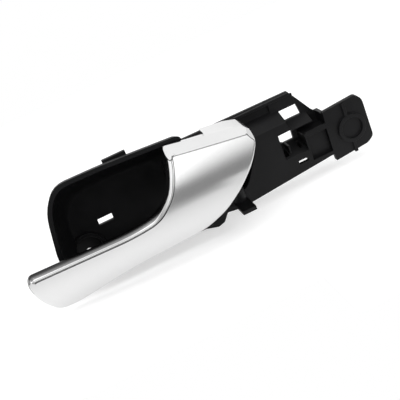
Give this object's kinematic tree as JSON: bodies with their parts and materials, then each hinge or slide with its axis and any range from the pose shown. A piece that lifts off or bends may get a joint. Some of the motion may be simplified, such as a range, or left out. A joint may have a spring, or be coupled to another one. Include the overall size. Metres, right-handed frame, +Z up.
{
  "type": "car interior door handle",
  "caption": "Interior door handle with a pull lever hinged on an upright pin over a finger cup, a stepped carrier panel and a fixing tab.",
  "frame": {"origin": "axis of the ring boss and the locating spigot at the right end, in the front face of the tab", "axes": "+X along the handle towards the tab, +Y into the door, +Z up as fitted"},
  "size_m": [0.2046, 0.0516, 0.0658],
  "materials": {
    "carrier_black": "satin",
    "lever_silver": "satin",
    "frame_black": "matte",
    "pin_steel": "satin",
    "spring_steel": "satin",
    "buffer_rubber": "matte"
  },
  "bodies": {
    "carrier": {"carrier": "carrier_black", "screw_pocket": "carrier_black", "hinge_pin": "pin_steel", "return_spring": "spring_steel", "rest_buffer": "buffer_rubber", "stop_buffer": "buffer_rubber"},
    "lever": {"lever_shell": "lever_silver", "lever_frame": "frame_black"}
  },
  "joints": [
    {"name": "lever_pull", "type": "hinge", "parent": "carrier", "child": "lever", "pos_m": [-0.0745, -0.004, 0], "axis": [0, 0, 1], "range_deg": [0, 40], "stiffness_Nm_per_rad": 0.15, "springref_deg": -20.05, "deforming": ["return_spring"]}
  ]
}
